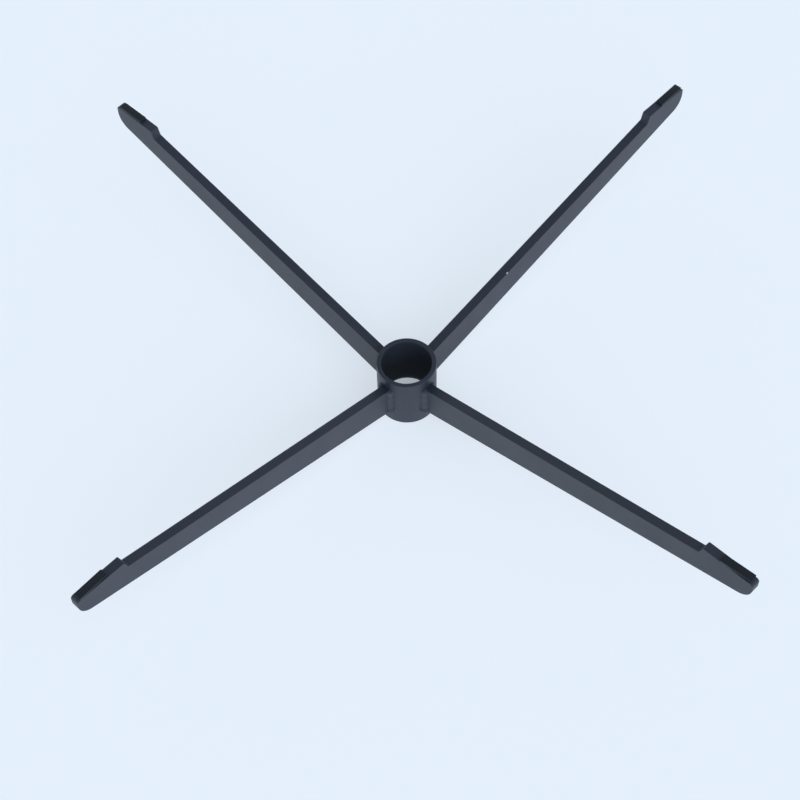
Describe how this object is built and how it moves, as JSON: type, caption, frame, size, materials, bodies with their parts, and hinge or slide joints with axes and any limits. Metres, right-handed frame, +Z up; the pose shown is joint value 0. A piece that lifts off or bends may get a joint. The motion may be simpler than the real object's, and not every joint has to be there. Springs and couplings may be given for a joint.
{
  "type": "four-star chair base",
  "caption": "Welded steel chair base: a short open hub tube takes the seat column, and flat plate legs on edge slope away to raised feet with stick-on pads.",
  "frame": {"origin": "centre of the hub tube's resting end, which is its upper end in use: the base is stored upside down, as pictured", "axes": "+Z up the hub's axis from the resting end towards the feet; +X and +Y along two of the legs"},
  "size_m": [0.696, 0.696, 0.1155],
  "materials": {
    "powder_coat": "matt black powder coat",
    "pad": "matt black foam rubber"
  },
  "bodies": {
    "root": {"hub_tube": "powder_coat", "leg_right": "powder_coat", "leg_back": "powder_coat", "leg_left": "powder_coat", "leg_front": "powder_coat", "weld_right": "powder_coat", "weld_back": "powder_coat", "weld_left": "powder_coat", "weld_front": "powder_coat", "foot_pad_right": "pad", "foot_pad_back": "pad", "foot_pad_left": "pad", "foot_pad_front": "pad"}
  },
  "joints": []
}
